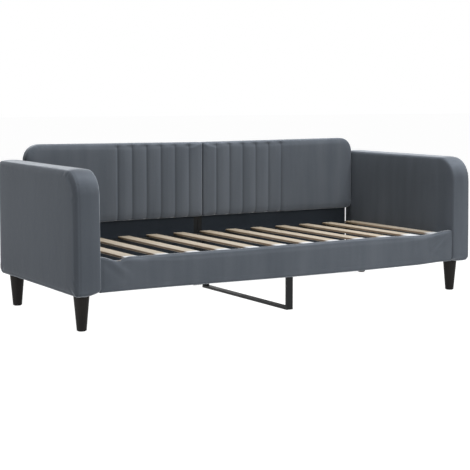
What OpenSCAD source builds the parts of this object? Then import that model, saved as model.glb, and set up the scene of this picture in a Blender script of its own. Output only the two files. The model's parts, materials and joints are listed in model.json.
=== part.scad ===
// Daybed with upholstered arms, a two-part fluted backrest and a slatted base.
// Millimetres. +X runs along the bed, the front is towards -Y, +Z is up.
// The origin is on the floor, under the middle of the bed.

/* [Mattress bay] */
// Clear length between the two arms
bay_l = 2030; // [1900:10:2130]
// Clear width between the front rail and the backrest
bay_w = 828; // [700:2:1000]
// Height of the slats' top above the arms' underside
deck_rise = 149; // [142:1:200]

/* [Arms] */
// Thickness of an arm
arm_t = 117; // [100:1:140]
// Height of an arm without its legs
arm_h = 550; // [480:5:650]
// Radius of the curve at an arm's upper front corner, seen from the side
arm_crown_r = 112; // [80:4:200]
// Radius of an arm's other corners, seen from the side
arm_corner_r = 32; // [28:1:60]
// Radius of the soft edges of an arm
arm_edge_r = 16; // [12:1:26]
// Thickness of the foam and velvet on an arm
arm_pad_t = 14; // [12:1:18]
// Thickness of the plywood panels inside an arm
arm_panel_t = 5; // [3:0.5:8]
// Width of the timber posts inside an arm
arm_post_w = 60; // [45:1:80]
// Height of the timber rails inside an arm
arm_rail_h = 32; // [25:1:38]
// Height of the timber side rail that carries the rear beam
side_rail_h = 42; // [36:1:48]

/* [Legs] */
// Height of a leg with its glide
leg_h = 160; // [120:5:220]
// Diameter at the top of a leg
leg_top_d = 72; // [56:1:80]
// Diameter at the foot of a leg
leg_foot_d = 44; // [32:1:52]
// Distance from an arm's end to the axis of its leg
leg_inset = 89; // [70:1:140]
// Thickness of the glide under a leg
glide_t = 3; // [2:0.5:5]
// How far the glide's rim stays inside the leg's foot
glide_rim = 5; // [2:1:8]
// Diameter of the bolt that joins a leg to its arm
leg_bolt_d = 8; // [6:1:10]
// Depth of the bolt in the leg
leg_bolt_depth = 40; // [30:1:60]
// Length of the threaded sleeve of a leg's nut
leg_nut_l = 12; // [8:1:20]

/* [Front rail] */
// Height of the front rail
rail_h = 157; // [145:1:180]
// Height of the rail's lower edge above the arms' underside
rail_rise = 3; // [0:1:15]
// Distance of the rail's face behind the arms' front
rail_setback = 10; // [0:1:25]
// Thickness of the rail's timber board
rail_board_t = 18; // [15:1:25]
// Thickness of the foam and velvet on the rail's face
rail_pad_t = 9; // [6:1:14]
// Thickness of the foam and velvet over the rail's edges
rail_wrap_t = 12; // [2:0.5:14]
// Radius of the rail's soft front edges
rail_edge_r = 8; // [4:1:12]
// Width of the ledge that carries the slats' front ends
ledge_w = 30; // [24:1:45]
// Height of the ledge
ledge_h = 30; // [20:1:40]

/* [Slats] */
// Number of slats
slat_n = 13; // [9:1:14]
// Width of a slat
slat_w = 68; // [50:1:80]
// Thickness of a slat
slat_t = 12; // [8:1:18]
// Gap between an arm and the first slat
slat_side_gap = 3; // [1:1:20]
// Gap between the front rail and the slats' front ends
slat_front_gap = 4; // [2:1:10]
// Distance of the slats' rear ends in front of the backrest's face
slat_rear_gap = 16; // [5:1:30]
// Radius of a slat's long edges
slat_edge_r = 2.5; // [1:0.5:3.5]

/* [Rear frame] */
// Width of the steel beam that carries the slats' rear ends
beam_w = 40; // [30:1:50]
// Height of the steel beam
beam_h = 35; // [25:1:45]
// Wall of the steel beam
beam_wall = 2; // [1.5:0.5:3]
// Distance of the beam's rear face inside the slats' ends
beam_inset = 3; // [0:1:10]
// Thickness of the rear boards and of the posts between them
rear_board_t = 15; // [12:1:20]
// Height of the rear boards' lower edge above the arms' underside
rear_board_rise = 5; // [0:1:15]
// Gap between a rear board and the arm
rear_board_gap = 9; // [5:1:20]
// Height of the rear board behind the backrest
rear_board_lap = 200; // [120:5:260]
// Width of a rear middle post
rear_post_w = 24; // [18:1:35]
// Gap between the two rear middle posts
rear_post_gap = 3; // [1:1:8]

/* [Backrest] */
// Height of the backrest at the arms
back_h = 407; // [340:1:450]
// Thickness of the backrest
back_t = 61; // [45:1:75]
// Height of the backrest's lower edge above the slats
back_rise = 75; // [50:1:110]
// Gap between the backrest and an arm
back_side_gap = 4; // [2:1:10]
// Gap between the two backrest halves
back_seam_gap = 2; // [1:0.5:5]
// Drop of the backrest's top edge towards the middle
back_dip = 7; // [0:1:15]
// Radius of the backrest's upper outer corners
back_crown_r = 78; // [60:2:160]
// Radius of the backrest's lower outer corners
back_corner_r = 30; // [22:1:45]
// Radius of the backrest's soft edges
back_edge_r = 14; // [8:1:18]
// Thickness of the plywood board in the backrest
back_board_t = 14; // [9:1:18]
// Width of the padding round the edge of that board
back_board_inset = 16; // [14:1:24]
// Thickness of the fabric on the backrest's rear
back_wrap_t = 3; // [2:0.5:5]
// Number of sewn channels on each half
flute_n = 6; // [3:1:8]
// Distance from the middle seam to the first channel
flute_first = 86; // [60:1:110]
// Distance from one channel to the next
flute_pitch = 85; // [60:1:95]
// Depth of a channel
flute_depth = 4; // [2:0.5:6]

/* [Middle support] */
// Width of the flat steel tube
support_w = 36; // [20:1:44]
// Thickness of the flat steel tube
support_t = 12; // [10:1:20]
// Wall of the flat steel tube
support_wall = 1.5; // [1:0.5:2.5]

/* [Brackets and screws] */
// Length of a bracket's flanges
bracket_l = 42; // [38:1:50]
// Height of a front bracket
bracket_h = 40; // [34:1:46]
// Thickness of a bracket
bracket_t = 3; // [2:0.5:5]
// Diameter of the bracket bolts
bolt_d = 8; // [5:1:10]
// Length of the bracket bolts under the head
bolt_l = 50; // [35:1:60]
// Diameter of the rods that join the backrest and the rear boards
rod_d = 6; // [5:0.5:8]
// Depth of those rods in the piece at each end
rod_depth = 40; // [25:1:45]
// Diameter of a slat screw
screw_d = 3.5; // [3:0.5:5]
// Length of a slat screw
screw_l = 28; // [20:1:35]
// Clearance round every bolt and screw
hole_gap = 0.3; // [0.1:0.1:0.5]

/* [Hidden] */

// Colours
velvet = [0.34, 0.36, 0.39];
lining = [0.16, 0.18, 0.2];
pine = [0.83, 0.74, 0.6];
plywood = [0.74, 0.62, 0.46];
black_steel = [0.09, 0.09, 0.1];
black_wood = [0.13, 0.13, 0.13];
plastic = [0.2, 0.2, 0.2];
zinc = [0.7, 0.71, 0.73];

// Facets of the round shapes
round_fn = 48;
// Angle between the facets of the soft edges
edge_step = 22.5;
// Extra length of a cutting tool past the face that it opens
cut = 1;

// Length, from the middle of the bed to the left
arm_in_x = -bay_l / 2;
arm_out_x = arm_in_x - arm_t;
arm_mid_x = arm_in_x - arm_t / 2;

// Depth, from the front to the rear
depth = rail_setback + rail_pad_t + rail_board_t + bay_w + back_t + rear_board_t;
front_y = -depth / 2;
rear_y = depth / 2;
rail_face_y = front_y + rail_setback;
rail_board_y = rail_face_y + rail_pad_t;
rail_back_y = rail_board_y + rail_board_t;
back_face_y = rail_back_y + bay_w;
back_rear_y = back_face_y + back_t;
slat_front_y = rail_back_y + slat_front_gap;
slat_rear_y = back_face_y - slat_rear_gap;
beam_rear_y = slat_rear_y - beam_inset;
beam_front_y = beam_rear_y - beam_w;
leg_ys = [front_y + leg_inset, rear_y - leg_inset];

// Height, from the floor up
arm_z = leg_h;
arm_top_z = arm_z + arm_h;
deck_z = arm_z + deck_rise;
slat_z = deck_z - slat_t;
ledge_z = slat_z - ledge_h;
beam_z = slat_z - beam_h;
rail_z = arm_z + rail_rise;
rail_top_z = rail_z + rail_h;
back_z = deck_z + back_rise;
back_top_z = back_z + back_h;
rear_board_z = arm_z + rear_board_rise;
rear_board_top_z = back_z + rear_board_lap;

// Inside an arm
core_x0 = arm_out_x + arm_pad_t;
core_x1 = arm_in_x - arm_pad_t;
frame_x0 = core_x0 + arm_panel_t;
frame_x1 = core_x1 - arm_panel_t;
core_y0 = front_y + arm_pad_t;
core_y1 = rear_y - arm_pad_t;
core_z0 = arm_z + arm_pad_t;
core_z1 = arm_top_z - arm_pad_t;
crown_y = front_y + arm_crown_r;
crown_z = arm_top_z - arm_crown_r;
bottom_rail_top_z = core_z0 + arm_rail_h;
side_rail_z = beam_z - side_rail_h;
former_r = arm_crown_r - arm_pad_t;

// Legs
leg_bolt_z = leg_h - leg_bolt_depth;
leg_nut_z = bottom_rail_top_z - leg_nut_l;
leg_sleeve_d = leg_bolt_d + 5;
leg_flange_d = leg_bolt_d + 16;
leg_flange_t = 2;

// Bolts of the brackets, [Y, Z], which reach into the timber of an arm
bolt_inset = 20;
bolt_head_d = bolt_d * 2;
bolt_head_t = 3;
front_bolt = [rail_back_y + bracket_t + bolt_inset, ledge_z - bracket_h / 2];
rear_bolt = [beam_front_y + beam_w / 2, beam_z - side_rail_h / 2];
rail_bolt_x = arm_in_x + bracket_t + bolt_inset;

// Backrest, left half
back_x0 = arm_in_x + back_side_gap;
back_x1 = -back_seam_gap / 2;
back_seam_z = back_top_z - back_dip;
back_board_chamfer = back_crown_r * 0.6;
back_board_rear_y = back_rear_y - back_wrap_t;
back_board_y = back_board_rear_y - back_board_t;
back_board_x0 = back_x0 + back_board_inset;
back_bolt_y = back_board_y + 4;
back_bolt_xs = [for (share = [0.15, 0.85]) back_x0 + (back_x1 - back_x0) * share];
back_bolt_zs = [for (share = [0.3, 0.8]) back_z + rear_board_lap * share];

// Rods from the arms into the backrest's boards, [Y, Z]
end_rod_inset = 70;
end_rod_y = back_board_y + back_board_t / 2;
end_rods = [for (z = [back_z + end_rod_inset, arm_top_z - end_rod_inset]) [end_rod_y, z]];
end_rod_x0 = frame_x1 - rod_depth;
end_rod_x1 = back_board_x0 + rod_depth;

// Rods through both middle posts into the edges of the rear boards, [Y, Z]
post_rod_inset = 60;
post_rods = [for (z = [rear_board_z + post_rod_inset, rear_board_top_z - post_rod_inset])
    [back_rear_y + rear_board_t / 2, z]];
rear_board_x1 = -rear_post_gap / 2 - rear_post_w;
post_rod_x = rear_board_x1 - rod_depth;

// Slats
slat_pitch = (bay_l - 2 * slat_side_gap - slat_w) / (slat_n - 1);
slat_l = slat_rear_y - slat_front_y;
screw_head_d = screw_d * 2;
screw_bore_d = screw_d + 2 * hole_gap;
screw_z = deck_z - screw_l;
screw_neck_z = deck_z - screw_d * 0.6;
screw_ys = [rail_back_y + ledge_w / 2, beam_front_y + beam_w / 2];

// A cuboid between two opposite corners
module block(low, high) {
    translate(low) cube(high - low);
}

// Draws the left-hand shape, or its mirror image on the right
module on_side(right) {
    mirror([right ? 1 : 0, 0, 0]) children();
}

// A rod along Z, from z0 to z1
module rod_z(x, y, z0, z1, d) {
    translate([x, y, z0]) cylinder(h = z1 - z0, d = d, $fn = round_fn);
}

// A rod along Y, from y0 to y1
module rod_y(x, z, y0, y1, d) {
    translate([x, y0, z]) rotate([-90, 0, 0]) cylinder(h = y1 - y0, d = d, $fn = round_fn);
}

// A rod along X, from x0 to x1
module rod_x(y, z, x0, x1, d) {
    translate([x0, y, z]) rotate([0, 90, 0]) cylinder(h = x1 - x0, d = d, $fn = round_fn);
}

// A disc with rounded rims, along Z from 0 to h, which shapes a soft corner in a hull
module soft_disc(h, r, e) {
    for (a = [0:edge_step:90]) {
        inset = e * (1 - sin(a));
        translate([0, 0, inset]) cylinder(h = h - 2 * inset, r = r - e * (1 - cos(a)), $fn = round_fn);
    }
}

// ---------- Arms ----------

// Side outline of an arm (Y, Z), drawn in from its face by the padding
module core_outline() {
    r = arm_corner_r - arm_pad_t;
    y0 = core_y0;
    y1 = core_y1;
    z0 = core_z0;
    z1 = core_z1;
    translate([y0 + r, z0]) square([y1 - y0 - 2 * r, r]);
    translate([y0, z0 + r]) square([y1 - y0, crown_z - z0 - r]);
    translate([crown_y, crown_z]) square([y1 - crown_y, z1 - crown_z - r]);
    translate([crown_y, z1 - r]) square([y1 - r - crown_y, r]);
    translate([y0 + r, z0 + r]) circle(r, $fn = round_fn);
    translate([y1 - r, z0 + r]) circle(r, $fn = round_fn);
    translate([y1 - r, z1 - r]) circle(r, $fn = round_fn);
    translate([crown_y, crown_z]) circle(former_r, $fn = round_fn * 2);
}

// The arm's inner outline as a slab between two X values
module core(x0, x1) {
    translate([x0, 0, 0]) rotate([90, 0, 90]) linear_extrude(x1 - x0) core_outline();
}

// Bores for the bracket bolts in the inner side of an arm
module bolt_bores(x0, x1) {
    for (p = [front_bolt, rear_bolt]) {
        rod_x(p[0], p[1], x0, x1, bolt_d + 2 * hole_gap);
    }
}

// Bores for the backrest's end rods
module end_rod_bores(x0, x1) {
    for (p = end_rods) {
        rod_x(p[0], p[1], x0, x1, rod_d + 2 * hole_gap);
    }
}

// Bores for the leg bolts through the underside of an arm
module leg_bores(d) {
    for (y = leg_ys) {
        rod_z(arm_mid_x, y, arm_z - cut, bottom_rail_top_z + cut, d);
    }
}

// A soft corner of an arm, of radius r seen from the side
module arm_corner(y, z, r) {
    translate([arm_out_x, y, z]) rotate([0, 90, 0]) soft_disc(arm_t, r, arm_edge_r);
}

// Foam and velvet round the whole arm, with room for the timber frame inside
module arm_upholstery(right) {
    r = arm_corner_r;
    on_side(right) color(velvet) difference() {
        hull() {
            arm_corner(front_y + r, arm_z + r, r);
            arm_corner(rear_y - r, arm_z + r, r);
            arm_corner(rear_y - r, arm_top_z - r, r);
            arm_corner(crown_y, crown_z, arm_crown_r);
        }
        core(core_x0, core_x1);
        bolt_bores(core_x1 - cut, arm_in_x + cut);
        end_rod_bores(core_x1 - cut, arm_in_x + cut);
        leg_bores(leg_bolt_d + 2 * hole_gap);
    }
}

module arm_inner_panel(right) {
    on_side(right) color(plywood) difference() {
        core(frame_x1, core_x1);
        bolt_bores(frame_x1 - cut, core_x1 + cut);
        end_rod_bores(frame_x1 - cut, core_x1 + cut);
    }
}

module arm_outer_panel(right) {
    on_side(right) color(plywood) core(core_x0, frame_x0);
}

// One timber member of an arm: a cuboid trimmed to the arm's inner outline
module arm_member(y0, y1, z0, z1) {
    intersection() {
        core(frame_x0, frame_x1);
        block([frame_x0, y0, z0], [frame_x1, y1, z1]);
    }
}

module arm_front_post(right) {
    on_side(right) color(pine) difference() {
        arm_member(core_y0, core_y0 + arm_post_w, bottom_rail_top_z, crown_z);
        bolt_bores(frame_x0 - cut, frame_x1 + cut);
    }
}

module arm_rear_post(right) {
    on_side(right) color(pine) difference() {
        arm_member(core_y1 - arm_post_w, core_y1, bottom_rail_top_z, core_z1);
        end_rod_bores(end_rod_x0, frame_x1 + cut);
    }
}

module arm_top_rail(right) {
    on_side(right) color(pine) arm_member(crown_y, core_y1 - arm_post_w, core_z1 - arm_rail_h, core_z1);
}

module arm_bottom_rail(right) {
    on_side(right) color(pine) difference() {
        arm_member(core_y0, core_y1, core_z0, bottom_rail_top_z);
        leg_bores(leg_bolt_d + 2 * hole_gap);
        for (y = leg_ys) {
            rod_z(arm_mid_x, y, leg_nut_z, bottom_rail_top_z + cut, leg_sleeve_d + 2 * hole_gap);
        }
    }
}

// Timber between the posts that carries the rear beam's bracket
module arm_side_rail(right) {
    y0 = core_y0 + arm_post_w;
    y1 = core_y1 - arm_post_w;
    on_side(right) color(pine) difference() {
        block([frame_x0, y0, side_rail_z], [frame_x1, y1, side_rail_z + side_rail_h]);
        bolt_bores(frame_x0 - cut, frame_x1 + cut);
    }
}

// Curved block that gives the arm its round upper front corner
module arm_corner_former(right) {
    on_side(right) color(plywood) intersection() {
        translate([frame_x0, crown_y, crown_z]) rotate([90, 0, 90]) linear_extrude(frame_x1 - frame_x0)
            difference() {
                circle(former_r, $fn = round_fn * 2);
                circle(former_r - arm_rail_h, $fn = round_fn * 2);
            }
        block([frame_x0, core_y0 - cut, crown_z], [frame_x1, crown_y, core_z1 + cut]);
    }
}

// ---------- Legs ----------

module leg(right, y) {
    on_side(right) color(black_wood) difference() {
        translate([arm_mid_x, y, glide_t])
            cylinder(h = leg_h - glide_t, d1 = leg_foot_d, d2 = leg_top_d, $fn = round_fn);
        rod_z(arm_mid_x, y, leg_bolt_z, leg_h + cut, leg_bolt_d + 2 * hole_gap);
    }
}

// Repeats a shape at the four legs
module at_legs() {
    for (right = [false, true], y = leg_ys) {
        on_side(right) translate([arm_mid_x, y, 0]) children();
    }
}

module leg_glides() {
    color(plastic) at_legs() rod_z(0, 0, 0, glide_t, leg_foot_d - 2 * glide_rim);
}

module leg_bolts() {
    color(zinc) at_legs() rod_z(0, 0, leg_bolt_z, bottom_rail_top_z, leg_bolt_d);
}

// Nut with a sleeve in the bottom rail and a flange on top of it
module leg_nuts() {
    flange_z = bottom_rail_top_z + leg_flange_t;
    color(zinc) at_legs() difference() {
        union() {
            rod_z(0, 0, leg_nut_z, bottom_rail_top_z, leg_sleeve_d);
            rod_z(0, 0, bottom_rail_top_z, flange_z, leg_flange_d);
        }
        rod_z(0, 0, leg_nut_z - cut, flange_z + cut, leg_bolt_d + hole_gap);
    }
}

// ---------- Front rail ----------

// Bores for the bolts between the front brackets and the rail
module rail_bolt_bores() {
    for (x = [rail_bolt_x, -rail_bolt_x]) {
        rod_y(x, front_bolt[1], rail_board_y - cut, rail_back_y + bracket_t + cut, bolt_d + 2 * hole_gap);
    }
}

module front_rail_board() {
    board_z0 = rail_z + rail_wrap_t;
    board_z1 = rail_top_z - rail_wrap_t;
    color(pine) difference() {
        block([arm_in_x, rail_board_y, board_z0], [-arm_in_x, rail_back_y, board_z1]);
        rail_bolt_bores();
    }
}

// Foam on the rail's face, with velvet wrapped over its upper and lower edges
module front_rail_upholstery() {
    r = rail_edge_r;
    color(velvet) translate([arm_in_x, 0, 0]) rotate([90, 0, 90]) linear_extrude(bay_l) difference() {
        union() {
            translate([rail_face_y + r, rail_z]) square([rail_back_y - rail_face_y - r, rail_h]);
            translate([rail_face_y, rail_z + r]) square([r, rail_h - 2 * r]);
            for (z = [rail_z + r, rail_top_z - r]) {
                translate([rail_face_y + r, z]) circle(r, $fn = round_fn);
            }
        }
        translate([rail_board_y, rail_z + rail_wrap_t])
            square([rail_board_t + cut, rail_h - 2 * rail_wrap_t]);
    }
}

module front_slat_ledge() {
    color(black_wood) difference() {
        block([arm_in_x, rail_back_y, ledge_z], [-arm_in_x, rail_back_y + ledge_w, slat_z]);
        screw_bores(screw_ys[0]);
    }
}

// ---------- Rear frame ----------

module rear_slat_beam() {
    color(black_steel) difference() {
        block([arm_in_x, beam_front_y, beam_z], [-arm_in_x, beam_rear_y, slat_z]);
        block([arm_in_x - cut, beam_front_y + beam_wall, beam_z + beam_wall],
              [-arm_in_x + cut, beam_rear_y - beam_wall, slat_z - beam_wall]);
        screw_bores(screw_ys[1]);
    }
}

// Bores for the rods that join the middle posts and the rear boards
module post_rod_bores() {
    for (p = post_rods) {
        rod_x(p[0], p[1], post_rod_x, cut, rod_d + 2 * hole_gap);
    }
}

module rear_board(right) {
    x0 = arm_in_x + rear_board_gap;
    on_side(right) color(lining) difference() {
        block([x0, back_rear_y, rear_board_z], [rear_board_x1, rear_y, rear_board_top_z]);
        for (x = back_bolt_xs, z = back_bolt_zs) {
            rod_y(x, z, back_rear_y - cut, rear_y + cut, bolt_d + 2 * hole_gap);
            rod_y(x, z, rear_y - bolt_head_t, rear_y + cut, bolt_head_d + 2 * hole_gap);
        }
        post_rod_bores();
    }
}

// Flat tube that stands on the floor and stiffens the seam of the backrest
module rear_middle_post(right) {
    x0 = rear_board_x1;
    x1 = x0 + rear_post_w;
    w = support_wall;
    on_side(right) color(black_steel) difference() {
        block([x0, back_rear_y, 0], [x1, rear_y, rear_board_top_z]);
        block([x0 + w, back_rear_y + w, w], [x1 - w, rear_y - w, rear_board_top_z + cut]);
        post_rod_bores();
    }
}

// ---------- Backrest ----------

// The plywood board in the left half, as a slab between two Y values
module back_board_slab(y0, y1) {
    c = back_board_chamfer;
    p = back_board_inset;
    x0 = back_board_x0;
    x1 = back_x1 - p;
    slope = back_dip / (back_x1 - back_x0);
    translate([0, y1, 0]) rotate([90, 0, 0]) linear_extrude(y1 - y0) polygon([
        [x0, back_z + p], [x1, back_z + p], [x1, back_seam_z - p],
        [x0 + c, back_top_z - p - slope * (p + c)], [x0, back_top_z - p - c]
    ]);
}

// Bores for the bolts between the rear boards and the backrest
module back_bolt_bores() {
    for (x = back_bolt_xs, z = back_bolt_zs) {
        rod_y(x, z, back_bolt_y, back_rear_y + cut, bolt_d + 2 * hole_gap);
    }
}

module backrest_board(right) {
    on_side(right) color(plywood) difference() {
        back_board_slab(back_board_y, back_board_rear_y);
        back_bolt_bores();
        end_rod_bores(back_board_x0 - cut, end_rod_x1);
    }
}

// A soft corner of the backrest, of radius r seen from the front
module back_corner(x, z, r) {
    translate([x, back_face_y, z]) rotate([-90, 0, 0]) soft_disc(back_t, r, back_edge_r);
}

// Foam and velvet of one half, with sewn channels on the side of the seam
module backrest_pad(right) {
    seam_r = back_edge_r + 2;
    on_side(right) color(velvet) difference() {
        hull() {
            back_corner(back_x0 + back_crown_r, back_top_z - back_crown_r, back_crown_r);
            back_corner(back_x0 + back_corner_r, back_z + back_corner_r, back_corner_r);
            back_corner(back_x1 - seam_r, back_seam_z - seam_r, seam_r);
            back_corner(back_x1 - seam_r, back_z + seam_r, seam_r);
        }
        back_board_slab(back_board_y, back_board_rear_y);
        back_bolt_bores();
        end_rod_bores(back_x0 - cut, back_board_x0 + cut);
        for (i = [0:flute_n - 1]) {
            translate([-flute_first - i * flute_pitch, back_face_y, back_z - cut])
                cylinder(h = back_h + 2 * cut, r = flute_depth, $fn = round_fn);
        }
    }
}

module backrest_bolts() {
    color(zinc) for (right = [false, true], x = back_bolt_xs, z = back_bolt_zs) {
        on_side(right) {
            rod_y(x, z, back_bolt_y, rear_y - bolt_head_t, bolt_d);
            rod_y(x, z, rear_y - bolt_head_t, rear_y, bolt_head_d);
        }
    }
}

module backrest_end_rods() {
    color(zinc) for (right = [false, true], p = end_rods) {
        on_side(right) rod_x(p[0], p[1], end_rod_x0, end_rod_x1, rod_d);
    }
}

module rear_post_rods() {
    color(zinc) for (p = post_rods) {
        rod_x(p[0], p[1], post_rod_x, -post_rod_x, rod_d);
    }
}

// ---------- Middle support ----------

// Upright of the U-shaped support, with its front face at y
module support_post(y, top_z) {
    w = support_wall;
    color(black_steel) difference() {
        block([-support_w / 2, y, 0], [support_w / 2, y + support_t, top_z]);
        block([-support_w / 2 + w, y + w, w], [support_w / 2 - w, y + support_t - w, top_z - w]);
    }
}

module support_front_post() {
    support_post(rail_back_y, ledge_z);
}

module support_rear_post() {
    support_post(beam_rear_y - support_t, beam_z);
}

module support_floor_bar() {
    w = support_wall;
    y0 = rail_back_y + support_t;
    y1 = beam_rear_y - support_t;
    color(black_steel) difference() {
        block([-support_w / 2, y0, 0], [support_w / 2, y1, support_t]);
        block([-support_w / 2 + w, y0 - cut, w], [support_w / 2 - w, y1 + cut, support_t - w]);
    }
}

// ---------- Brackets and fasteners ----------

// Angle bracket in the corner of an arm and the front rail, under the ledge
module front_bracket() {
    t = bracket_t;
    z0 = ledge_z - bracket_h;
    difference() {
        union() {
            block([arm_in_x, rail_back_y, z0], [arm_in_x + t, rail_back_y + bracket_l, ledge_z]);
            block([arm_in_x, rail_back_y, z0], [arm_in_x + bracket_l, rail_back_y + t, ledge_z]);
        }
        bolt_bores(arm_in_x - cut, arm_in_x + t + cut);
        rail_bolt_bores();
    }
}

// Angle bracket under an end of the rear beam
module rear_bracket() {
    t = bracket_t;
    difference() {
        union() {
            block([arm_in_x, beam_front_y, beam_z - side_rail_h], [arm_in_x + t, beam_rear_y, beam_z]);
            block([arm_in_x, beam_front_y, beam_z - t], [arm_in_x + bracket_l, beam_rear_y, beam_z]);
        }
        bolt_bores(arm_in_x - cut, arm_in_x + t + cut);
    }
}

module frame_brackets() {
    color(black_steel) for (right = [false, true]) {
        on_side(right) {
            front_bracket();
            rear_bracket();
        }
    }
}

// Bolts through the brackets into the arms and into the rail
module bracket_bolts() {
    x = arm_in_x + bracket_t;
    y = rail_back_y + bracket_t;
    color(zinc) for (right = [false, true]) {
        on_side(right) {
            for (p = [front_bolt, rear_bolt]) {
                rod_x(p[0], p[1], x - bolt_l, x, bolt_d);
                rod_x(p[0], p[1], x, x + bolt_head_t, bolt_head_d);
            }
            rod_y(rail_bolt_x, front_bolt[1], rail_board_y, y, bolt_d);
            rod_y(rail_bolt_x, front_bolt[1], y, y + bolt_head_t, bolt_head_d);
        }
    }
}

// ---------- Slats ----------

function slat_x(i) = -bay_l / 2 + slat_side_gap + slat_w / 2 + (i - 1) * slat_pitch;

// Pilot holes for the slat screws in whatever carries the slats
module screw_bores(y) {
    for (i = [1:slat_n]) {
        rod_z(slat_x(i), y, screw_z, deck_z + cut, screw_bore_d);
    }
}

module slat(i) {
    r = slat_edge_r;
    color(pine) difference() {
        translate([slat_x(i), slat_rear_y, slat_z]) rotate([90, 0, 0]) linear_extrude(slat_l) {
            translate([-slat_w / 2 + r, 0]) square([slat_w - 2 * r, slat_t]);
            translate([-slat_w / 2, r]) square([slat_w, slat_t - 2 * r]);
            for (x = [-slat_w / 2 + r, slat_w / 2 - r], z = [r, slat_t - r]) {
                translate([x, z]) circle(r, $fn = round_fn);
            }
        }
        for (y = screw_ys) {
            rod_z(slat_x(i), y, slat_z - cut, deck_z + cut, screw_bore_d);
            rod_z(slat_x(i), y, screw_neck_z, deck_z + cut, screw_head_d + 2 * hole_gap);
        }
    }
}

module slat_screws() {
    color(zinc) for (i = [1:slat_n], y = screw_ys) {
        rod_z(slat_x(i), y, screw_z, screw_neck_z, screw_d);
        rod_z(slat_x(i), y, screw_neck_z, deck_z, screw_head_d);
    }
}

// ---------- Assembly ----------

for (right = [false, true]) {
    side = right ? "right_" : "left_";
    arm_upholstery(right);
    arm_inner_panel(right);
    arm_outer_panel(right);
    arm_front_post(right);
    arm_rear_post(right);
    arm_top_rail(right);
    arm_bottom_rail(right);
    arm_side_rail(right);
    arm_corner_former(right);
    backrest_pad(right);
    backrest_board(right);
    rear_board(right);
    rear_middle_post(right);
}
leg(false, leg_ys[0]);  // front_left_leg
leg(true, leg_ys[0]);  // front_right_leg
leg(false, leg_ys[1]);  // rear_left_leg
leg(true, leg_ys[1]);  // rear_right_leg
leg_glides();
leg_bolts();
leg_nuts();
front_rail_board();
front_rail_upholstery();
front_slat_ledge();
rear_slat_beam();
support_front_post();
support_rear_post();
support_floor_bar();
frame_brackets();
bracket_bolts();
backrest_bolts();
backrest_end_rods();
rear_post_rods();
slat_screws();
for (i = [1:slat_n]) {
    slat(i);
}
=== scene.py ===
"""Looks of the daybed: velvet upholstery, slats, legs and steel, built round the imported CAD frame."""
import json
import math

import bmesh
import bpy
import numpy as np
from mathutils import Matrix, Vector, noise


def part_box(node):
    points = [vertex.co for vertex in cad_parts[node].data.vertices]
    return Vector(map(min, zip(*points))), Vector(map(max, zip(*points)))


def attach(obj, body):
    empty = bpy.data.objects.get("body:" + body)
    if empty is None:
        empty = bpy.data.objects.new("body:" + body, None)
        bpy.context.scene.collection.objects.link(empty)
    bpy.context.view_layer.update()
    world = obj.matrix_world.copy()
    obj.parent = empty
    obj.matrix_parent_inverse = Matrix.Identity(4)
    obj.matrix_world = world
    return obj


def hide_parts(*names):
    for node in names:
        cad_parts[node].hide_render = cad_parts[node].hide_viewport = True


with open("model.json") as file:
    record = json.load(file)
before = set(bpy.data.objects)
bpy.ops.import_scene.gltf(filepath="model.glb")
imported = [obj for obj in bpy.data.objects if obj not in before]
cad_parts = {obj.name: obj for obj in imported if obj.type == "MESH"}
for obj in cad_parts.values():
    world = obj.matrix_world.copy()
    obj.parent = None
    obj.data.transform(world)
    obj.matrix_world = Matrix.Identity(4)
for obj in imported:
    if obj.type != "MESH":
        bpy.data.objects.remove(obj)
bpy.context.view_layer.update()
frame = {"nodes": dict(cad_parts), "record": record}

MM = 0.001
NODES = frame["nodes"]
SUBPARTS = frame["record"]["subparts"]


# ---------- Camera ----------

CAMERA_AT = (-3.179, -5.049, 1.014)
CAMERA_YAW = 31.845
CAMERA_PITCH = -4.322
CAMERA_LENS = 89.47
CAMERA_SENSOR = 36
CAMERA_SHIFT_Y = -0.1


def make_camera():
    """The camera stands in front of the object and to its left, higher than its back, turned slightly down."""
    data = bpy.data.cameras.new("camera")
    data.lens = CAMERA_LENS
    data.sensor_width = CAMERA_SENSOR
    data.shift_y = CAMERA_SHIFT_Y
    data.clip_start = 0.1
    data.clip_end = 100
    camera = bpy.data.objects.new("camera", data)
    camera.location = CAMERA_AT
    camera.rotation_euler = (math.radians(90 + CAMERA_PITCH), 0, math.radians(-CAMERA_YAW))
    bpy.context.scene.collection.objects.link(camera)
    bpy.context.scene.camera = camera


make_camera()


# ---------- Small helpers ----------

def smooth_step(low, high, x):
    """0 at low, 1 at high, smooth between; low may be the larger one."""
    t = np.clip((x - low) / (high - low), 0, 1)
    return t * t * (3 - 2 * t)


def bell(x, width):
    """1 where x is 0, falling off smoothly over width on both sides."""
    return np.exp(-((x / width) ** 2))


def points_of(mesh):
    co = np.empty(len(mesh.vertices) * 3)
    mesh.vertices.foreach_get("co", co)
    return co.reshape(-1, 3)


def set_points(mesh, co):
    mesh.vertices.foreach_set("co", np.asarray(co, float).ravel())
    mesh.update()


def normals_of(mesh):
    no = np.empty(len(mesh.vertices) * 3)
    mesh.vertex_normals.foreach_get("vector", no)
    return no.reshape(-1, 3)


def noise_at(co, scale, seed=0.0):
    """Smooth noise from -1 to 1 at each point. scale is how many features a metre holds along each axis."""
    scaled = co * np.asarray(scale, float) + seed
    return np.array([noise.noise(Vector(p)) for p in scaled])


def add_object(name, mesh):
    piece = bpy.data.objects.new(name, mesh)
    bpy.context.scene.collection.objects.link(piece)
    return piece


def apply_modifiers(piece):
    """Replaces the piece's mesh by the one that its modifiers make, and removes them."""
    graph = bpy.context.evaluated_depsgraph_get()
    graph.update()
    mesh = bpy.data.meshes.new_from_object(piece.evaluated_get(graph))
    piece.modifiers.clear()
    piece.data = mesh


def shade_smooth(mesh):
    mesh.polygons.foreach_set("use_smooth", [True] * len(mesh.polygons))
    mesh.update()


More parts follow.
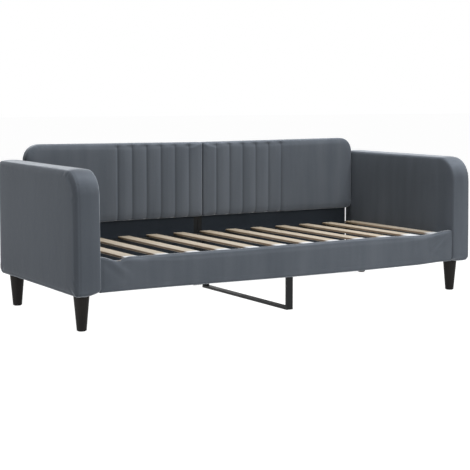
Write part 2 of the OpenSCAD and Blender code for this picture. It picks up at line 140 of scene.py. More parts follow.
def set_shade(mesh, values):
    """Keeps a number per vertex that the velvet reads: how much painted shade it gets in seams, along hems and
    on the rail's upper edge.
    """
    layer = mesh.attributes.get("seam") or mesh.attributes.new("seam", "FLOAT", "POINT")
    layer.data.foreach_set("value", np.asarray(values, np.float32))


# ---------- Materials ----------

class Shader:
    """A Principled material with short ways to add texture nodes."""

    def __init__(self, name, **sockets):
        self.material = bpy.data.materials.new(name)
        self.material.use_nodes = True
        self.tree = self.material.node_tree
        self.bsdf = self.tree.nodes["Principled BSDF"]
        for socket, value in sockets.items():
            self.bsdf.inputs[socket.replace("_", " ")].default_value = value
        where = self.tree.nodes.new("ShaderNodeTexCoord")
        self.place = where.outputs["Object"]
        self.facing = where.outputs["Normal"]

    def node(self, kind, inputs=None, **settings):
        made = self.tree.nodes.new("ShaderNode" + kind)
        for key, value in settings.items():
            setattr(made, key, value)
        for socket, value in (inputs or {}).items():
            if isinstance(value, bpy.types.NodeSocket):
                self.tree.links.new(value, made.inputs[socket])
            else:
                made.inputs[socket].default_value = value
        return made

    def stretched(self, x, y, z):
        """Object coordinates times a factor along each axis."""
        return self.node("Mapping", {"Vector": self.place, "Scale": (x, y, z)}).outputs["Vector"]

    def noise(self, scale, detail=2.0, where=None, roughness=0.5):
        inputs = {"Vector": where or self.place, "Scale": scale, "Detail": detail, "Roughness": roughness}
        return self.node("TexNoise", inputs).outputs["Fac"]

    def spread(self, value, low, high, to_low=0.0, to_high=1.0):
        """value mapped from the range low to high on to the range to_low to to_high, and held at its ends."""
        inputs = {"Value": value, "From Min": low, "From Max": high, "To Min": to_low, "To Max": to_high}
        return self.node("MapRange", inputs).outputs["Result"]

    def blend(self, share, first, second, kind="MIX"):
        """first where share is 0 and second where it is 1; MULTIPLY gives their product instead."""
        made = self.node("Mix", data_type="RGBA", blend_type=kind)
        for index, value in ((0, share), (6, first), (7, second)):
            if isinstance(value, bpy.types.NodeSocket):
                self.tree.links.new(value, made.inputs[index])
            else:
                made.inputs[index].default_value = value
        return made.outputs[2]

    def component(self, vector, axis):
        return self.node("SeparateXYZ", {"Vector": vector}).outputs[axis]

    def maths(self, operation, first, second):
        return self.node("Math", {0: first, 1: second}, operation=operation).outputs["Value"]

    def link(self, value, socket):
        self.tree.links.new(value, self.bsdf.inputs[socket])

    def bump(self, height, distance, strength=1.0, under=None):
        inputs = {"Height": height, "Distance": distance, "Strength": strength}
        if under is not None:
            inputs["Normal"] = under
        return self.node("Bump", inputs).outputs["Normal"]


def colour(red, green, blue):
    """An sRGB colour, 0 to 255, as the linear values that a shader takes."""
    def linear(c):
        c /= 255
        return c / 12.92 if c <= 0.04045 else ((c + 0.055) / 1.055) ** 2.4
    return (linear(red), linear(green), linear(blue), 1)


# Painted light and shade on the velvet: by facing X, on upward slopes and tops, in the pile's gaps and seams,
# and a painted highlight at grazing angles.
PAINTED_SIDE_LIGHT = (0.72, 1.28)
PAINTED_SLOPE_LIGHT = (1.0, 1.4)
PAINTED_TOP_SHADE = (1.0, 0.72)
PAINTED_PILE_SHADE = (0.01, 0.011, 0.013, 1)
PAINTED_SEAM_SHADE = (0.011, 0.014, 0.020, 1)
PAINTED_RIM_SHEEN = (0.29, 0.315, 0.355, 1)
SHEEN_TINT = (0.90, 0.95, 1.0, 1)


def velvet_material(name, dark, light):
    """Short-pile velvet. The pile shades in soft patches and streaks, and its sheen catches the light at
    grazing angles, where a painted highlight in the base colour adds to it. Painted light: what faces +X or
    slopes upward is painted lighter, what faces -X darker, and seams and the pile's gaps get painted shade."""
    s = Shader(name, Sheen_Weight=1.0, Sheen_Roughness=0.28, Sheen_Tint=SHEEN_TINT, Specular_IOR_Level=0.1)
    patches = s.noise(2.6, 3.0, s.stretched(1.0, 1.0, 0.55))
    streaks = s.noise(16.0, 3.0, s.stretched(1.0, 1.0, 0.12))
    pile = s.noise(900.0, 2.0)
    shade = s.blend(0.45, patches, streaks)
    base = s.blend(s.spread(shade, 0.34, 0.66), dark, light)
    # Painted shade between the hairs of the pile, spread at random.
    base = s.blend(s.spread(pile, 0.3, 0.7, 0.0, 0.22), base, PAINTED_PILE_SHADE)
    # Painted shade in seams, along hems and on the rail's upper edge, read from the seam attribute.
    seam = s.node("Attribute", attribute_name="seam").outputs["Fac"]
    base = s.blend(s.spread(seam, 0.0, 1.0, 0.0, 0.55), base, PAINTED_SEAM_SHADE)
    # Painted light: faces turned towards +X are painted lighter, faces towards -X darker.
    facing_x = s.component(s.facing, "X")
    base = s.blend(1.0, base, s.spread(facing_x, -0.8, 0.8, *PAINTED_SIDE_LIGHT), "MULTIPLY")
    # Painted light: slopes facing upward are painted lighter, and tops facing straight up painted darker
    # again.
    upward = s.component(s.facing, "Z")
    base = s.blend(1.0, base, s.spread(upward, 0.1, 0.6, *PAINTED_SLOPE_LIGHT), "MULTIPLY")
    base = s.blend(1.0, base, s.spread(upward, 0.75, 1.0, *PAINTED_TOP_SHADE), "MULTIPLY")
    # A painted highlight at grazing angles, on top of the real sheen of the Principled shader.
    rim = s.node("LayerWeight", {"Blend": 0.5}).outputs["Facing"]
    painted_rim_share = s.maths("POWER", s.spread(rim, 0.45, 0.95), 2.5)
    base = s.blend(painted_rim_share, base, PAINTED_RIM_SHEEN)
    s.link(base, "Base Color")
    s.link(s.spread(streaks, 0.3, 0.7, 0.82, 0.95), "Roughness")
    soft = s.bump(s.noise(38.0, 2.0), 0.0012, 0.35)
    s.link(s.bump(pile, 0.0005, 0.35, soft), "Normal")
    return s.material


def lining_material(name):
    """Matt woven fabric stretched over the rear boards."""
    s = Shader(name, Sheen_Weight=0.1, Sheen_Roughness=0.5, Specular_IOR_Level=0.1)
    thread = {"Vector": s.place, "Scale": 420.0, "Distortion": 0.6}
    warp = s.node("TexWave", thread, bands_direction="X")
    weft = s.node("TexWave", thread, bands_direction="Z")
    weave = s.maths("MULTIPLY", warp.outputs["Fac"], weft.outputs["Fac"])
    cloudy = s.noise(5.0, 4.0)
    base = s.blend(s.spread(cloudy, 0.3, 0.7), colour(42, 48, 56), colour(50, 57, 65))
    base = s.blend(s.spread(weave, 0.0, 1.0, 0.25, 0.0), base, colour(24, 27, 30))
    s.link(base, "Base Color")
    s.link(s.spread(cloudy, 0.3, 0.7, 0.78, 0.92), "Roughness")
    s.link(s.bump(weave, 0.0004, 0.5), "Normal")
    return s.material


slat_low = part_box("slat_1")[0]
# Painted light on the slats: narrow sides painted darker as if in shade, painted shade towards the rear under
# the backrest, painted light on the front ends.
SLAT_SIDE_PAINTED_SHADE = colour(112, 90, 66)
SLAT_REAR_PAINTED_SHADE = colour(118, 104, 80)
SLAT_FRONT_PAINTED_LIGHT = colour(214, 219, 224)
SLAT_PAINTED_SHADE_REACH = (slat_low.y + 379.5 * MM, slat_low.y + 809.5 * MM)
SLAT_PAINTED_LIGHT_REACH = (slat_low.y + 114.5 * MM, slat_low.y + 79.5 * MM)


def slat_painted_light(s, base):
    """Painted light on the slats: their narrow sides painted darker as if in shade, painted shade deepening
    towards the rear, and painted light on their pale front ends.
    """
    # Painted shade on the narrow sides.
    edge = s.maths("ABSOLUTE", s.component(s.facing, "X"), 0.0)
    base = s.blend(s.spread(edge, 0.3, 0.8, 0.0, 0.85), base, SLAT_SIDE_PAINTED_SHADE)
    # Painted shade deepening towards the rear.
    reach = s.component(s.place, "Y")
    base = s.blend(s.spread(reach, *SLAT_PAINTED_SHADE_REACH, 0.0, 0.45), base, SLAT_REAR_PAINTED_SHADE)
    # Painted light on the front ends.
    return s.blend(s.spread(reach, *SLAT_PAINTED_LIGHT_REACH, 0.0, 0.85), base, SLAT_FRONT_PAINTED_LIGHT)


def wood_material(name, pale, deep, grain_squeeze, painted_light=None):
    """Wood whose grain runs along the axis that grain_squeeze makes small. painted_light, where given, adds
    painted light and shade to the colour.
    """
    s = Shader(name, Specular_IOR_Level=0.35)
    lengthwise = s.stretched(*grain_squeeze)
    fibres = s.noise(420.0, 3.0, lengthwise)
    rings = s.noise(70.0, 4.0, lengthwise, 0.6)
    boards = s.noise(3.1, 1.0, s.stretched(1.9, 0.2, 1.9))
    tone = s.blend(0.35, rings, fibres)
    base = s.blend(s.spread(tone, 0.36, 0.68), pale, deep)
    base = s.blend(s.spread(boards, 0.35, 0.65, 0.0, 0.28), base, deep)
    spots = s.node("TexVoronoi", {"Vector": s.stretched(1.0, 0.5, 1.0), "Scale": 5.5}).outputs["Distance"]
    base = s.blend(s.spread(spots, 0.03, 0.10, 0.15, 0.0), base, colour(96, 62, 34))
    if painted_light:
        base = painted_light(s, base)
    s.link(base, "Base Color")
    s.link(s.spread(rings, 0.3, 0.7, 0.5, 0.7), "Roughness")
    s.link(s.bump(tone, 0.0005, 0.4), "Normal")
    return s.material


def plywood_material(name):
    """Thin veneers seen at the edges, with a plain rotary-cut face."""
    s = Shader(name, Specular_IOR_Level=0.3)
    plies = s.node("TexWave", {"Vector": s.place, "Scale": 110.0, "Distortion": 1.5}, bands_direction="X")
    face = s.noise(34.0, 4.0, s.stretched(1, 1, 0.06), 0.6)
    base = s.blend(s.spread(face, 0.35, 0.65), colour(205, 178, 138), colour(172, 138, 96))
    base = s.blend(s.spread(plies.outputs["Fac"], 0.6, 1.0, 0.0, 0.25), base, colour(120, 86, 54))
    s.link(base, "Base Color")
    s.link(s.spread(face, 0.3, 0.7, 0.6, 0.78), "Roughness")
    s.link(s.bump(face, 0.0003, 0.4), "Normal")
    return s.material


def coated_material(name, tone, rough, grain=1400.0, depth=0.00025, shine=0.45):
    """Paint, powder coat or plastic: a fine orange-peel skin with faint rubbed spots."""
    s = Shader(name, Specular_IOR_Level=shine)
    skin = s.noise(grain, 2.0)
    rubbed = s.noise(9.0, 5.0, None, 0.65)
    lighter = tuple(min(1, c * 1.9 + 0.008) for c in tone[:3]) + (1,)
    s.link(s.blend(s.spread(rubbed, 0.5, 0.75, 0.0, 0.55), tone, lighter), "Base Color")
    s.link(s.spread(rubbed, 0.35, 0.7, rough - 0.06, rough + 0.1), "Roughness")
    s.link(s.bump(skin, depth, 0.3), "Normal")
    return s.material


def leg_material(name):
    """Black stained beech: the grain shows through as fine lengthwise lines."""
    s = Shader(name, Specular_IOR_Level=0.16)
    grain = s.noise(260.0, 4.0, s.stretched(1, 1, 0.03), 0.65)
    cloudy = s.noise(14.0, 3.0)
    base = s.blend(s.spread(grain, 0.38, 0.66), colour(15, 14, 14), colour(30, 27, 25))
    base = s.blend(s.spread(cloudy, 0.4, 0.7, 0.0, 0.3), base, colour(27, 24, 22))
    s.link(base, "Base Color")
    s.link(s.spread(grain, 0.3, 0.7, 0.48, 0.62), "Roughness")
    s.link(s.bump(grain, 0.0004, 0.45), "Normal")
    return s.material


def zinc_material(name):
    """Zinc plate on turned steel."""
    s = Shader(name, Metallic=1.0)
    spangle = s.noise(420.0, 3.0)
    s.link(s.blend(s.spread(spangle, 0.35, 0.65), colour(176, 178, 182), colour(206, 207, 208)), "Base Color")
    s.link(s.spread(spangle, 0.3, 0.7, 0.24, 0.42), "Roughness")
    s.link(s.bump(spangle, 0.0002, 0.3), "Normal")
    return s.material


VELVET = velvet_material("velvet", colour(84, 90, 98), colour(98, 104, 112))
LINING = lining_material("lining")
PINE = wood_material("pine", colour(214, 188, 142), colour(176, 138, 90), (1, 1, 0.035))
SLAT = wood_material("slat_wood", colour(184, 176, 163), colour(163, 149, 129), (1, 0.035, 1), slat_painted_light)
LEDGE = coated_material("ledge_paint", colour(40, 40, 42), 0.6, 500.0, 0.0004)
PLYWOOD = plywood_material("plywood")
LEG = leg_material("leg_wood")
STEEL = coated_material("powder_coat", colour(16, 18, 20), 0.42, shine=0.2)
GLIDE = coated_material("glide_plastic", colour(26, 26, 27), 0.7, 700.0, shine=0.15)
ZINC = zinc_material("zinc")

MATERIAL_OF_SLOT = {
    "velvet": VELVET, "covered_board": LINING, "pine": PINE, "plywood": PLYWOOD, "slat_wood": SLAT,
    "leg_wood": LEG, "ledge_wood": LEDGE, "black_steel": STEEL, "glide_plastic": GLIDE, "zinc": ZINC,
}


def paint_cad_nodes():
    """Gives every CAD node the material of its slot in the record."""
    for part in SUBPARTS:
        node = NODES[part["node"]]
        node.data.materials.clear()
        node.data.materials.append(MATERIAL_OF_SLOT[part["material_slot"]])


paint_cad_nodes()


# ---------- Closed soft forms ----------

CORNER_STEPS = 12
LEAST_RADIUS = 4 * MM
CLOTH_PRESSURE = 4.0
CLOTH_FRAMES = 20
PIN_LEVELS = 10


def rounded_outline(low, high, radii, inset):
    """Points round a rectangle with its own radius at each corner, drawn in by inset, counter-clockwise.
    radii start at the low-low corner."""
    lo = np.array(low) + inset
    hi = np.array(high) - inset
    centres = []
    for (side, top), radius in zip(((0, 0), (1, 0), (1, 1), (0, 1)), radii):
        r = max(radius - inset, LEAST_RADIUS)
        x = hi[0] - r if side else lo[0] + r
        y = hi[1] - r if top else lo[1] + r
        centres.append((x, y, r))
    out = []
    for quarter, (x, y, r) in enumerate(centres):
        start = math.pi * (1 + quarter / 2)
        for step in range(CORNER_STEPS + 1):
            a = start + math.pi / 2 * step / CORNER_STEPS
            out.append((x + r * math.cos(a), y + r * math.sin(a)))
    return np.array(out)


def outline_depth(a, b, low, high, radii):
    """How deep each point (a, b) lies inside the rounded rectangle."""
    middle = (np.array(low) + np.array(high)) / 2
    half = (np.array(high) - np.array(low)) / 2
    u = a - middle[0]
    v = b - middle[1]
    r = np.where(v < 0, np.where(u < 0, radii[0], radii[1]), np.where(u < 0, radii[3], radii[2]))
    qu = np.abs(u) - half[0] + r
    qv = np.abs(v) - half[1] + r
    outside = np.hypot(np.maximum(qu, 0), np.maximum(qv, 0))
    return r - outside - np.minimum(np.maximum(qu, qv), 0)


def stacked_form(name, rings):
    """A closed mesh from equal rings of points, one above the other, with its two ends filled."""
    bm = bmesh.new()
    rows = [[bm.verts.new(p) for p in ring] for ring in rings]
    count = len(rows[0])
    for below, above in zip(rows, rows[1:]):
        for i in range(count):
            j = (i + 1) % count
            bm.faces.new((below[i], below[j], above[j], above[i]))
    bm.faces.new(list(reversed(rows[0])))
    bm.faces.new(rows[-1])
    bmesh.ops.recalc_face_normals(bm, faces=bm.faces)
    mesh = bpy.data.meshes.new(name)
    bm.to_mesh(mesh)
    bm.free()
    return add_object(name, mesh)


def remesh(piece, voxel):
    made = piece.modifiers.new("remesh", "REMESH")
    made.mode = "VOXEL"
    made.voxel_size = voxel
    made.use_smooth_shade = True
    apply_modifiers(piece)


def inflate(piece, pinned, cap):
    """Blows the cover up under cloth pressure and holds it where pinned is 1. No point moves past cap."""
    rest = points_of(piece.data)
    group = piece.vertex_groups.new(name="pinned")
    for level in range(1, PIN_LEVELS + 1):
        share = level / PIN_LEVELS
        members = np.where((pinned > share - 0.05) & (pinned <= share + 0.05))[0]
        if len(members):
            group.add(members.tolist(), share, "REPLACE")
    cloth = piece.modifiers.new("cloth", "CLOTH")
    cloth.settings.quality = 5
    cloth.settings.mass = 0.3
    cloth.settings.air_damping = 2
    cloth.settings.tension_stiffness = 12
    cloth.settings.compression_stiffness = 12
    cloth.settings.shear_stiffness = 6
    cloth.settings.bending_stiffness = 0.8
    cloth.settings.use_pressure = True
    cloth.settings.uniform_pressure_force = CLOTH_PRESSURE
    cloth.settings.vertex_group_mass = "pinned"
    cloth.settings.effector_weights.gravity = 0
    cloth.point_cache.frame_start = 1
    cloth.point_cache.frame_end = CLOTH_FRAMES
    for step in range(1, CLOTH_FRAMES + 1):
        bpy.context.scene.frame_set(step)
    graph = bpy.context.evaluated_depsgraph_get()
    moved = points_of(piece.evaluated_get(graph).data) - rest
    piece.modifiers.clear()
    piece.vertex_groups.clear()
    bpy.context.scene.frame_set(1)
    far = np.linalg.norm(moved, axis=1)
    eased = cap * np.tanh(far / cap)
    set_points(piece.data, rest + moved * (eased / np.maximum(far, 1e-9))[:, None])


def subdivide(piece):
    made = piece.modifiers.new("subdivision", "SUBSURF")
    made.levels = 1
    made.render_levels = 1
    apply_modifiers(piece)


def mirrored(name, piece):
    """A copy of the piece on the other side of the bed's middle."""
    mesh = piece.data.copy()
    set_points(mesh, points_of(mesh) * (-1, 1, 1))
    mesh.flip_normals()
    return add_object(name, mesh)


def settle(piece, node, material):
    """The last words on a soft piece: its look, its body, and hiding the CAD part that it stands in for."""
    shade_smooth(piece.data)
    piece.data.materials.clear()
    piece.data.materials.append(material)
    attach(piece, "root")
    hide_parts(node)


# ---------- Arms ----------

ARM_VOXEL = 7.5 * MM
ARM_CORNER = 32 * MM
ARM_CROWN = 112 * MM
ARM_OUTER_EDGE = 7 * MM
ARM_INNER_EDGE = 12 * MM
ARM_OUTER_DROOP = 0.5 * MM
ARM_INNER_CROWN = 5 * MM
ARM_CROWN_REACH = 110 * MM
ARM_DOME = 3 * MM
ARM_RISE = 5 * MM
ARM_FORWARD = 6 * MM
ARM_LEAN = 13 * MM
ARM_FOOT_LEAN = 5 * MM
ARM_SAG = 3 * MM
ARM_TUCK = 10 * MM
ARM_OUTER_SEAM = 16 * MM
ARM_INNER_SEAM = 3 * MM
ARM_HEM = 13 * MM
ARM_SLACK = 0.8 * MM
ARM_SWELL = 2.5 * MM
arm_low, arm_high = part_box("left_arm_upholstery")
ARM_LOW = (arm_low.y, arm_low.z)
ARM_HIGH = (arm_high.y, arm_high.z)
ARM_RADII = (ARM_CORNER, ARM_CORNER, ARM_CORNER, ARM_CROWN)


def arm_side(half, edge, droop, crown):
    """Points (distance from the arm's middle, inset from its outline), from a face's middle to the strip."""
    out = []
    for share in (1.0, 0.78, 0.58, 0.40, 0.25, 0.12):
        stand = (crown + droop) * (1 - (1 - share) ** 2) - droop
        out.append((half + stand, edge + ARM_CROWN_REACH * share))
    for step in range(9):
        a = math.pi / 2 * step / 8
        out.append((half - droop - edge * (1 - math.cos(a)), edge * (1 - math.sin(a))))
    return out


def arm_shift(across, y, z):
    """How far the padding stands off the plain outline along Y and Z. The front swells forward at half height
    and leans back above and below. across is 0 at the outer and 1 at the inner face."""
    back = y - arm_low.y
    up = z - arm_low.z
    fore = smooth_step(170.5 * MM, 50.5 * MM, back)
    lean = ARM_LEAN * smooth_step(220 * MM, 490 * MM, up) + ARM_FOOT_LEAN * smooth_step(110 * MM, 20 * MM, up)
    rise = ARM_RISE * smooth_step(70.5 * MM, 340.5 * MM, back) * smooth_step(-60 * MM, 0, z - arm_high.z)
    low = smooth_step(60 * MM, 5 * MM, up)
    tuck = ARM_TUCK * smooth_step(0.45, 1.0, across) * fore * low
    sag = ARM_SAG * (1 - fore) * low
    return (lean - ARM_FORWARD) * fore, rise + tuck - sag


def arm_form():
    """The left arm: two padded faces joined by a slightly domed strip that runs all round."""
    half = (arm_high.x - arm_low.x) / 2
    middle = (arm_high.x + arm_low.x) / 2
    outer = [(-x, inset) for x, inset in arm_side(half, ARM_OUTER_EDGE, ARM_OUTER_DROOP, 0)]
    inner = arm_side(half, ARM_INNER_EDGE, 0, ARM_INNER_CROWN)
    strip = [(x * half, -ARM_DOME * (1 - (x / 0.8) ** 2)) for x in (-0.5, -0.25, 0.0, 0.25, 0.5)]
    loops = []
    for x, inset in outer + strip + inner[::-1]:
        flat = rounded_outline(ARM_LOW, ARM_HIGH, ARM_RADII, max(inset, 0))
        y = flat[:, 0]
        z = flat[:, 1]
        bulge = -min(inset, 0) * smooth_step(10 * MM, 60 * MM, z - arm_low.z)
        near_rear = smooth_step(40.5 * MM, 30.5 * MM, arm_high.y - y)
        near_front = smooth_step(40.5 * MM, 30.5 * MM, y - arm_low.y)
        y = y + bulge * (near_rear - near_front)
        z = z + bulge * smooth_step(-60 * MM, 0, z - arm_high.z)
        lean, rise = arm_shift((x / half + 1) / 2, y, z)
        loops.append([(middle + x, *point) for point in zip(y + lean, z + rise)])
    return stacked_form("left_arm_cover", loops)


def arm_places(co):
    """Each point's distance from the outer and from the inner face, and its depth in the side outline."""
    out = np.abs(co[:, 0])
    depth = outline_depth(co[:, 1], co[:, 2], ARM_LOW, ARM_HIGH, ARM_RADII)
    return abs(arm_low.x) - out, out - abs(arm_high.x), depth


def sew_arm(piece, seed):
    """Draws the seams and the hem in and gives the velvet its faint unevenness."""
    mesh = piece.data
    co = points_of(mesh)
    from_outer, from_inner, depth = arm_places(co)
    on_strip = smooth_step(16 * MM, 8 * MM, depth)
    snap = (np.abs(from_outer - ARM_OUTER_SEAM) < 1.9 * MM) & (depth < 12 * MM)
    co[snap, 0] = (np.sign(co[:, 0]) * (abs(arm_low.x) - ARM_OUTER_SEAM))[snap]
    outer_seam = bell(from_outer - ARM_OUTER_SEAM, 4.5 * MM) * on_strip
    inner_seam = bell(from_inner - ARM_INNER_SEAM, 3.0 * MM) * on_strip
    hem = bell(co[:, 2] - arm_low.z - ARM_HEM, 3.6 * MM)
    pressed = 0.9 * MM * outer_seam + 0.4 * MM * inner_seam + 1.3 * MM * hem
    ripple = 0.3 * MM * noise_at(co, (30, 30, 30), seed) * bell(from_outer - ARM_OUTER_SEAM, 14 * MM)
    slack = ARM_SLACK * noise_at(co, (3, 3, 2.2), seed + 7)
    set_points(mesh, co + normals_of(mesh) * (ripple + slack - pressed)[:, None])
    # Painted shade in the outer seam and along the hem.
    set_shade(mesh, np.clip(0.3 * outer_seam + 0.5 * hem, 0, 1))


def make_arms():
    """Both arms' covers, which share one form and differ in the unevenness of their velvet."""
    left = arm_form()
    remesh(left, ARM_VOXEL)
    from_outer, from_inner, depth = arm_places(points_of(left.data))
    near_outer = bell(from_outer - ARM_OUTER_SEAM, 10 * MM)
    near_inner = bell(from_inner - ARM_INNER_SEAM, 8 * MM)
    pinned = np.maximum(near_outer, near_inner) * smooth_step(26 * MM, 10 * MM, depth)
    inflate(left, pinned, ARM_SWELL)
    subdivide(left)
    right = mirrored("right_arm_cover", left)
    for piece, side, seed in ((left, "left", 1.3), (right, "right", 5.1)):
        sew_arm(piece, seed)
        settle(piece, f"{side}_arm_upholstery", VELVET)


make_arms()


# ---------- Backrest ----------

BACK_VOXEL = 6.3 * MM
BACK_EDGE = 12 * MM
BACK_RISE = 2 * MM
BACK_SEAM_EDGE = 5 * MM
BACK_CROWN = 78 * MM
BACK_CORNER = 30 * MM
BACK_INNER = 12 * MM
BACK_DIP = 7 * MM
FLUTE_FIRST = 86 * MM
FLUTE_PITCH = 85 * MM
FLUTES = [FLUTE_FIRST + FLUTE_PITCH * i for i in range(6)]
FLUTE_DEPTH = 7.5 * MM
FLUTE_SLOPE = 62 * MM
FLUTE_LAP = 9 * MM
BACK_SLACK = 0.5 * MM
BACK_SWELL = 2 * MM
pad_low, pad_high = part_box("left_backrest_pad")
PAD_LOW = (pad_low.x, pad_low.z)
PAD_HIGH = (pad_high.x, pad_high.z)
PAD_RADII = (BACK_CORNER, BACK_INNER, BACK_INNER, BACK_CROWN)


def pad_form():
    """The left half of the backrest: a firm pad with a soft front edge and a flat rear."""
    front = pad_low.y
    rear = pad_high.y
    section = [(front + 1.5 * MM, 70 * MM), (front + 2 * MM, 40 * MM), (front + 3 * MM, BACK_EDGE + 8 * MM)]
    for step in range(8):
        a = math.pi / 2 * step / 7
        section.append((front + 3 * MM + BACK_EDGE * (1 - math.cos(a)), BACK_EDGE * (1 - math.sin(a))))
    section += [(rear - 8 * MM, 0.0), (rear - 2 * MM, 2 * MM), (rear, 8 * MM)]
    loops = []
    for y, inset in section:
        flat = rounded_outline(PAD_LOW, PAD_HIGH, PAD_RADII, inset)
        tighter = min(inset, BACK_EDGE) * (1 - BACK_SEAM_EDGE / BACK_EDGE)
        at_seam = smooth_step(-90 * MM, -30 * MM, flat[:, 0] - pad_high.x)
        x = flat[:, 0] + (tighter + 0.8 * MM) * at_seam
        drop = BACK_DIP * (x - pad_low.x) / (pad_high.x - pad_low.x) - BACK_RISE
        drop *= smooth_step(pad_low.z, pad_high.z, flat[:, 1])
        loops.append([(a, y, b) for a, b in zip(x, flat[:, 1] - drop)])
    return stacked_form("left_backrest_cover", loops)


def sew_pad(piece, seed):
    """Presses the sewn channels into the front. The cover falls away slowly up to each seam along +X and
    rises steeply behind it. The channels end just under the top edge and run out at the lower one."""
    mesh = piece.data
    co = points_of(mesh)
    across = np.abs(co[:, 0])
    lines = np.array(FLUTES)
    nearest = lines[np.abs(across[:, None] - lines).argmin(1)]
    gap = across - nearest
    in_front = smooth_step(pad_low.y + 30 * MM, pad_low.y + 10 * MM, co[:, 1])
    in_front *= smooth_step(pad_high.z - 8 * MM, pad_high.z - 22 * MM, co[:, 2])
    snap = (np.abs(gap) < 1.6 * MM) & (in_front > 0.2)
    co[snap, 0] = (np.sign(co[:, 0]) * nearest)[snap]
    gap[snap] = 0
    along_x = gap * np.sign(co[:, 0])
    gentle = np.clip(1 + along_x / FLUTE_SLOPE, 0, 1) ** 3
    steep = np.exp(-along_x / FLUTE_LAP)
    plain = (across > lines[-1]) | (across < lines[0])
    gentle = np.where(plain, np.exp(along_x / FLUTE_LAP), gentle)
    pressed = FLUTE_DEPTH * np.where(along_x < 0, gentle, steep)
    slack = BACK_SLACK * noise_at(co, (4, 4, 3), seed)
    set_points(mesh, co + normals_of(mesh) * (slack - pressed * in_front)[:, None])
    # Painted shade in the channel seams.
    set_shade(mesh, 0.04 * bell(gap, 2.0 * MM) * in_front)


def make_backrest():
    """Both halves of the backrest, which share one form before their channels are sewn."""
    left = pad_form()
    remesh(left, BACK_VOXEL)
    co = points_of(left.data)
    depth = outline_depth(co[:, 0], co[:, 2], PAD_LOW, PAD_HIGH, PAD_RADII)
    behind = smooth_step(pad_low.y + 20 * MM, pad_low.y + 34 * MM, co[:, 1])
    inflate(left, np.maximum(behind, bell(depth, 5 * MM) * 0.6), BACK_SWELL)
    subdivide(left)
    right = mirrored("right_backrest_cover", left)
    for piece, side, seed in ((left, "left", 2.2), (right, "right", 8.4)):
        sew_pad(piece, seed)
        settle(piece, f"{side}_backrest_pad", VELVET)


make_backrest()


# ---------- Slats ----------

SLAT_ROUND = 5.2 * MM
SLAT_STEPS = 4
SLAT_ROWS = 40
SLAT_END = 4 * MM
SLAT_WANDER = 0.35 * MM


def slat_section(low, high, inset):
    """The slat's cross-section in X and Z with well rounded edges, drawn in by inset."""
    radius = SLAT_ROUND - inset
    out = []
    corners = ((high.x, high.z, 0), (low.x, high.z, 1), (low.x, low.z, 2), (high.x, low.z, 3))
    for x, z, quarter in corners:
        cx = x - math.copysign(SLAT_ROUND, x - (low.x + high.x) / 2)
        cz = z - math.copysign(SLAT_ROUND, z - (low.z + high.z) / 2)
        for step in range(SLAT_STEPS + 1):
            a = math.pi / 2 * (quarter + step / SLAT_STEPS)
            out.append((cx + radius * math.cos(a), cz + radius * math.sin(a)))
        if quarter in (0, 2):
            width = high.x - low.x - 2 * SLAT_ROUND
            for step in (1, 2, 3):
                out.append((cx - math.copysign(width * step / 4, cx - (low.x + high.x) / 2), out[-1][1]))
    return out


def make_slats():
    """Planed slats with rounded long edges, each a little uneven."""
    slats = [part["node"] for part in SUBPARTS if part["material_slot"] == "slat_wood"]
    for number, node in enumerate(slats, 1):
        low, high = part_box(node)
        front = [(low.y, 1.5 * MM), (low.y + 1.2 * MM, 0.3 * MM), (low.y + SLAT_END, 0.0)]
        rear = [(low.y + high.y - y, inset) for y, inset in front[::-1]]
        span = np.linspace(low.y + SLAT_END, high.y - SLAT_END, SLAT_ROWS)
        rows = front + [(y, 0.0) for y in span[1:-1]] + rear
        rings = [[(x, y, z) for x, z in slat_section(low, high, inset)] for y, inset in rows]
        piece = stacked_form(f"{node}_board", rings)
        co = points_of(piece.data)
        wander = SLAT_WANDER * noise_at(co, (6, 2.2, 6), number * 3.1)
        set_points(piece.data, co + normals_of(piece.data) * (wander - SLAT_WANDER)[:, None])
        shade_smooth(piece.data)
        piece.data.materials.append(SLAT)
        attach(piece, "root")
        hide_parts(node)


make_slats()


# ---------- Front rail ----------

rail_low, rail_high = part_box("front_rail_upholstery")
board_low, board_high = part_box("front_rail_board")
RAIL_EDGE = 8 * MM
RAIL_STEP = 5 * MM
RAIL_END = 1.5 * MM
RAIL_SLOPE = 4 * MM
VELVET_T = 1.5 * MM
RAIL_RAISED = 2.5 * MM
RAIL_HANG = 4.5 * MM
RAIL_SWELL = 2.5 * MM
RAIL_HEM = 9 * MM
RAIL_WAVES = 1.2 * MM
RAIL_CROWN = 2 * MM
RAIL_END_LOOP = 0.6 * MM
RAIL_FACE_STEPS = 26
RAIL_EDGE_STEPS = 6
RAIL_FLAT_STEPS = 5
# Folds at each end of the rail, in mm: start and end as (in from the end, up from the foot), width, depth.
RAIL_CREASES = (
    ((15, 155), (150, 52), 20, 7),
    ((60, 155), (260, 87), 24, 5),
    ((10, 27), (160, 62), 22, 3),
)


def rail_top(x):
    """Height of the rail's upper edge: it dips beside each end and rises against the arms."""
    left = x - rail_low.x
    right = rail_high.x - x
    left_dip = 12 * MM * bell(left - 90 * MM, 34 * MM) - 2.5 * MM * bell(left - 155 * MM, 30 * MM)
    right_dip = 7 * MM * bell(right - 205 * MM, 150 * MM)
    middle_dip = 2 * MM * bell(left - 865 * MM, 300 * MM)
    rise = 9 * MM * smooth_step(70 * MM, 5 * MM, left) + 10 * MM * smooth_step(145 * MM, 5 * MM, right)
    return rail_high.z + RAIL_RAISED - left_dip - right_dip - middle_dip + rise


def rail_bottom(x):
    """Height of the rail's lower edge: it hangs lowest right of the middle and stays under the board."""
    right = rail_high.x - x
    lift = 11 * MM * (right - 565 * MM) ** 2 + 5 * MM * smooth_step(215 * MM, 65 * MM, right)
    most = board_low.z - VELVET_T - rail_low.z + RAIL_HANG
    return rail_low.z - RAIL_HANG + most * np.tanh(lift / most)


